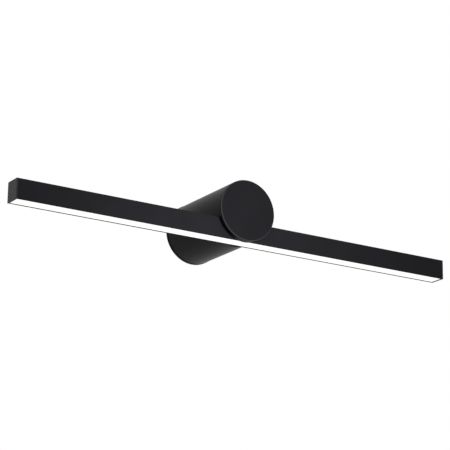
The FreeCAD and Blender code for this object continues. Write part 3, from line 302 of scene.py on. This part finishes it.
def screw_steel(name="plated_screw_steel", color=(0.66, 0.66, 0.68), roughness=0.3):
    """Small plated parts, mostly screws: bright, with small handling marks."""
    graph = Graph(name, color, roughness, 1.0)
    where = graph.place()
    marks = graph.noise(where, 1400.0, 4.0, 0.65)
    cloud = graph.noise(where, 300.0)
    graph.tint(cloud, "Fac", scaled(color, 0.82), color)
    graph.vary_roughness(marks, "Fac", roughness - 0.08, roughness + 0.14)
    graph.bump(marks, "Fac", 0.1)
    return graph.material


def turned_aluminium():
    """Lathe-turned aluminium: fine rings about the can's axis."""
    graph = Graph("turned_aluminium", (0.72, 0.72, 0.74), 0.3, 1.0)
    rings = graph.bands(graph.place(), 900.0, "Y", 0.4)
    cloud = graph.noise(graph.place(), 60.0)
    graph.tint(cloud, "Fac", (0.66, 0.66, 0.68), (0.74, 0.74, 0.76))
    graph.vary_roughness(rings, "Fac", 0.24, 0.38)
    graph.bump(rings, "Fac", 0.25)
    return graph.material


def ferrite():
    """Sintered ferrite: dark grey with pale specks."""
    graph = Graph("ferrite", (0.05, 0.05, 0.055), 0.55)
    specks = graph.noise(graph.place(), 1800.0, 3.0, 0.7)
    graph.tint(specks, "Fac", (0.035, 0.035, 0.04), (0.11, 0.11, 0.115), 0.45, 0.8)
    graph.bump(specks, "Fac", 0.2)
    return graph.material


def banded(name, low, high, scale, direction, roughness, start=0.4, end=0.6):
    """A surface with bands of two colours: wound tape, a sleeve's stripe, a two-colour wire."""
    graph = Graph(name, high, roughness)
    bands = graph.bands(graph.place(), scale, direction)
    graph.tint(bands, "Fac", low, high, start, end)
    fine = graph.noise(graph.place(), 900.0)
    graph.vary_roughness(fine, "Fac", roughness - 0.05, roughness + 0.08)
    graph.bump(bands, "Fac", 0.15)
    return graph.material


def circuit_board(name, mask, trace, scale):
    """Solder mask over copper: traces show as paler paths with a raised edge."""
    graph = Graph(name, mask, 0.3)
    paths = graph.add("ShaderNodeTexBrick", {"Scale": scale, "Mortar Size": 0.09, "Bias": -0.2})
    graph.link(graph.place(), "Vector", paths, "Vector")
    graph.tint(paths, "Fac", mask, trace, 0.3, 0.7)
    fine = graph.noise(graph.place(), 1200.0)
    graph.vary_roughness(fine, "Fac", 0.24, 0.36)
    graph.bump(paths, "Fac", 0.3, 0.04 * MM)
    return graph.material


def phosphor():
    """Yellow phosphor gel in the LEDs' cups."""
    graph = Graph("led_phosphor", (0.95, 0.78, 0.25), 0.4)
    grains = graph.noise(graph.place(), 4000.0, 3.0, 0.7)
    graph.tint(grains, "Fac", (0.9, 0.66, 0.16), (0.98, 0.86, 0.38))
    graph.bump(grains, "Fac", 0.15, 0.05 * MM)
    return graph.material


def assign(material, *names):
    """Gives CAD nodes a material, through their own slots."""
    for name in names:
        for slot in nodes[name].material_slots:
            slot.material = material


def dress_outside():
    """Finishes of the parts that show when the light hangs on its wall."""
    assign(powder_coat("can_powder_coat", 0.003, 1.14), "can_tube")
    assign(powder_coat("base_powder_coat", 0.004, 1.1), "base_cup")
    assign(anodised("anodised_bar", 0.0098, 1.05, (4, 900, 900)), "bar_profile")
    # The front cap's 45 degree chamfer gets a painted highlight in shade 0.026.
    assign(anodised("anodised_cap", 0.0078, 1.05, (300, 300, 300), 0.026), "front_cap")
    assign(anodised("anodised_ends", 0.0125, 1.21, (300, 300, 300)), "end_cap_left", "end_cap_right")
    assign(opal(), "diffuser")


def dress_inside():
    """Finishes of the parts behind the can and inside it and the bar."""
    assign(sheet_steel(), "wall_bracket", "chassis_bracket", "bar_saddle", "bar_nut_plates")
    assign(screw_steel(), "level_nuts", "chassis_screws", "terminal_screws", "earth_screw",
           "driver_screws", "saddle_screws", "bar_clamp_screws")
    assign(turned_aluminium(), "rear_collar")
    assign(mottled("black_rubber", (0.018, 0.018, 0.018), 0.75, 90.0, 0.3, 0.35, 700.0),
           "cable_grommet", "lead_grommet")
    assign(mottled("white_nylon", (0.86, 0.85, 0.8), 0.48, 70.0, 0.05, 0.15),
           "terminal_block", "output_socket", "lead_connector", "lead_plug")
    assign(mottled("driver_plastic", (0.72, 0.72, 0.7), 0.5, 40.0, 0.06, 0.35, 1100.0),
           "driver_case", "driver_lid")
    assign(mottled("green_terminal", (0.07, 0.33, 0.12), 0.42, 120.0, 0.12, 0.15), "input_terminal")
    assign(circuit_board("green_board", (0.015, 0.14, 0.05), (0.04, 0.28, 0.1), 160.0), "driver_board")
    assign(circuit_board("white_board", (0.86, 0.86, 0.84), (0.78, 0.77, 0.72), 90.0),
           "led_board_left", "led_board_right")
    assign(ferrite(), "transformer_core")
    assign(banded("coil_tape", (0.72, 0.5, 0.05), (0.88, 0.68, 0.12), 150.0, "Y", 0.28),
           "transformer_winding")
    assign(banded("capacitor_sleeve", (0.02, 0.03, 0.09), (0.6, 0.62, 0.68), 28.0, "X", 0.3, 0.9, 0.95),
           "driver_capacitors")
    assign(screw_steel("tinned_brass", (0.74, 0.71, 0.64), 0.34), "earth_terminal")
    assign(mottled("brown_wire", (0.16, 0.06, 0.025), 0.4, 200.0, 0.2, 0.1), "live_wire")
    assign(mottled("blue_wire", (0.02, 0.1, 0.42), 0.4, 200.0, 0.2, 0.1), "neutral_wire")
    assign(banded("earth_wire", (0.04, 0.32, 0.05), (0.85, 0.75, 0.04), 120.0, "DIAGONAL", 0.4,
                  0.48, 0.52), "earth_wire")
    assign(mottled("lead_sheath", (0.82, 0.82, 0.8), 0.42, 150.0, 0.05, 0.12), "bar_lead")


# ---------------------------------------------------------------- edges of the CAD parts

WELD_REACH = 0.001 * MM
SHARP_ANGLE = math.radians(40)


def round_edges(width, *names):
    """Breaks the sharp edges of CAD nodes, as real parts have them."""
    for name in names:
        weld = nodes[name].modifiers.new("weld", "WELD")
        weld.merge_threshold = WELD_REACH
        bevel = nodes[name].modifiers.new("edge", "BEVEL")
        bevel.width = width
        bevel.segments = 2
        bevel.limit_method = "ANGLE"
        bevel.angle_limit = SHARP_ANGLE
        bevel.harden_normals = True


# ---------------------------------------------------------------- pieces in mesh code

SEGMENTS = 24           # points round each ring of a screw
THREAD_ROWS = 6         # rings in each turn of a thread
THREAD_DEPTH = 0.6      # of the pitch
M4_PITCH = 0.7 * MM
SET_SCREW_LEAN = math.radians(25)
# From an LED's lower edge over its rim into its cup: inset and height above its lowest point, in mm.
LED_PROFILE = ((0, 0.15), (0.12, 0), (0.4, 0), (0.62, 0.25), (0.9, 0.14))
LED_CUP_FACES = 5       # the phosphor's top and the four sides that lead down to it


def piece(name, bm, body, slot, *materials):
    """Turns a finished bmesh into a piece that rides on a body."""
    bmesh.ops.recalc_face_normals(bm, faces=bm.faces)
    mesh = bpy.data.meshes.new(name)
    bm.to_mesh(mesh)
    bm.free()
    for material in materials:
        mesh.materials.append(material)
    made = bpy.data.objects.new(name, mesh)
    bpy.context.scene.collection.objects.link(made)
    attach(made, body)
    return made


def stack(bm, rings, place):
    """Joins rings of points, given as (height, radius or radius by angle), into one closed skin."""
    loops = []
    for height, radius in rings:
        loop = []
        for step in range(SEGMENTS):
            angle = math.tau * step / SEGMENTS
            reach = radius(angle) if callable(radius) else radius
            point = Vector((reach * math.cos(angle), reach * math.sin(angle), height))
            loop.append(bm.verts.new(place @ point))
        loops.append(loop)
    following = [*range(1, SEGMENTS), 0]
    for low, high in zip(loops, loops[1:]):
        for a, b in enumerate(following):
            bm.faces.new((low[a], low[b], high[b], high[a]))
    bm.faces.new(loops[0])
    bm.faces.new(loops[-1])


def block(bm, middle, half_x, half_y, levels):
    """Joins rectangles, given as (inset, height), into one closed skin.

    Returns its faces from the first level to the last: an end, four sides a step, an end.
    """
    rings = []
    for inset, z in levels:
        x, y = half_x - inset, half_y - inset
        corners = ((x, y), (-x, y), (-x, -y), (x, -y))
        rings.append([bm.verts.new(middle + Vector((dx, dy, z))) for dx, dy in corners])
    faces = [bm.faces.new(rings[0])]
    for one, other in zip(rings, rings[1:]):
        for a, b in ((0, 1), (1, 2), (2, 3), (3, 0)):
            faces.append(bm.faces.new((one[a], one[b], other[b], other[a])))
    faces.append(bm.faces.new(rings[-1]))
    return faces


def thread(start, end, radius, pitch):
    """Rings of a screw thread between two heights, fading out at both ends."""
    depth = THREAD_DEPTH * pitch
    rows = round((end - start) / pitch * THREAD_ROWS)
    for row in range(rows + 1):
        height = start + (end - start) * row / rows
        fade = min(1, (height - start) / pitch, (end - height) / pitch)

        def reach(angle, height=height, fade=fade):
            return radius - depth * fade * abs(2 * ((height / pitch - angle / math.tau) % 1) - 1)

        yield height, reach


def hexagon(across_flats):
    """Radius of a hexagonal socket by angle."""
    sector = math.tau / 6

    def reach(angle):
        return across_flats / 2 / math.cos((angle % sector) - sector / 2)

    return reach


def add_studs():
    """The bracket's two studs, with their pressed heads and M4 threads."""
    low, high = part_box("bracket_studs")
    radius, head_radius, head_thickness = 2.0 * MM, 3.0 * MM, 1.9 * MM
    head_edge, head_edge_height, tip_chamfer = 0.3 * MM, 0.2 * MM, 0.4 * MM
    head_top, tip = -high.y, -low.y
    head_foot = head_top + head_thickness
    stud_z = high.z - head_radius
    bm = bmesh.new()
    for z in (stud_z, -stud_z):
        towards_room = Matrix.Translation((0, 0, z)) @ Matrix.Rotation(math.radians(90), 4, "X")
        stack(bm, [(head_top, head_radius - head_edge), (head_top + head_edge_height, head_radius),
                   (head_foot, head_radius), (head_foot, radius),
                   *thread(head_foot + M4_PITCH, tip - tip_chamfer, radius, M4_PITCH),
                   (tip, radius - tip_chamfer)], towards_room)
    finish = screw_steel("stud_steel", (0.62, 0.62, 0.64), 0.28)
    studs = piece("threaded_studs", bm, "bracket", "zinc_steel", finish)
    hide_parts("bracket_studs")


def add_set_screws():
    """The two headless set screws: cup point, M4 thread and hexagon socket."""
    finish = screw_steel("black_oxide", (0.035, 0.035, 0.038), 0.34)
    top, bottom = 2.5 * MM, -2.5 * MM
    cup_depth, cup_floor, cup_edge, point_edge = 0.35 * MM, 0.5 * MM, 1.0 * MM, 1.15 * MM
    point_height, point_relief, thread_foot = 0.6 * MM, 0.1 * MM, 0.7 * MM
    top_chamfer, socket_depth = 0.35 * MM, 2.4 * MM
    socket = hexagon(2 * MM)
    for side, name in ((-1, "left"), (1, "right")):
        low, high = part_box(f"set_screw_{name}")
        radius = (high.y - low.y) / 2
        outward = (Matrix.Translation((low + high) / 2)
                   @ Matrix.Rotation(side * SET_SCREW_LEAN, 4, "Y"))
        bm = bmesh.new()
        stack(bm, [(bottom + cup_depth, cup_floor), (bottom, cup_edge), (bottom, point_edge),
                   (bottom + point_height, radius - point_relief),
                   *thread(bottom + thread_foot, top - top_chamfer, radius, M4_PITCH),
                   (top, radius - top_chamfer), (top, socket), (top - socket_depth, socket)], outward)
        screw = piece(f"grub_screw_{name}", bm, f"{name}_set_screw", "black_oxide", finish)
        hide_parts(f"set_screw_{name}")


def add_led_packages():
    """The LEDs: white packages with a cup of phosphor, at the CAD row's pitch."""
    low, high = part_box("led_chips")
    length, pitch = 3.5 * MM, 10 * MM
    half_length, half_width = length / 2, (high.y - low.y) / 2
    levels = [(0, high.z), *((inset * MM, low.z + rise * MM) for inset, rise in LED_PROFILE)]
    bm = bmesh.new()
    for index in range(round((high.x - low.x - length) / pitch) + 1):
        middle = Vector((low.x + half_length + index * pitch, (low.y + high.y) / 2, 0))
        for face in block(bm, middle, half_length, half_width, levels)[-LED_CUP_FACES:]:
            face.material_index = 1
    package = mottled("led_package", (0.9, 0.9, 0.87), 0.4, 300.0, 0.03, 0.1)
    leds = piece("led_packages", bm, "head", "led_phosphor", package, phosphor())
    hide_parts("led_chips")


def add_lid_ribs():
    """Shallow moulded ribs across the driver's lid."""
    low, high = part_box("driver_lid")
    count, half_width, height, slope, margin = 9, 0.6 * MM, 0.5 * MM, 0.2 * MM, 6 * MM
    half_length = (high.x - low.x) / 2 - margin
    levels = [(0, high.z - slope), (0, high.z), (slope, high.z + height)]
    bm = bmesh.new()
    for index in range(count):
        y = low.y + margin + (high.y - low.y - 2 * margin) * index / (count - 1)
        block(bm, Vector((0, y, 0)), half_length, half_width, levels)
    piece("lid_ribs", bm, "base", "driver_plastic", nodes["driver_lid"].material_slots[0].material)


# ---------------------------------------------------------------- the scene

add_camera()
add_world()
add_floor()
add_key_light()
dress_outside()
dress_inside()
round_edges(0.2 * MM, "bar_profile", "end_cap_left", "end_cap_right", "chassis_bracket", "bar_saddle")
round_edges(0.3 * MM, "level_nuts", "driver_case", "driver_lid", "terminal_block", "lead_plug",
            "output_socket")
round_edges(0.35 * MM, "chassis_screws", "driver_screws", "saddle_screws", "bar_clamp_screws",
            "earth_screw")
add_studs()
add_set_screws()
add_led_packages()
add_lid_ribs()
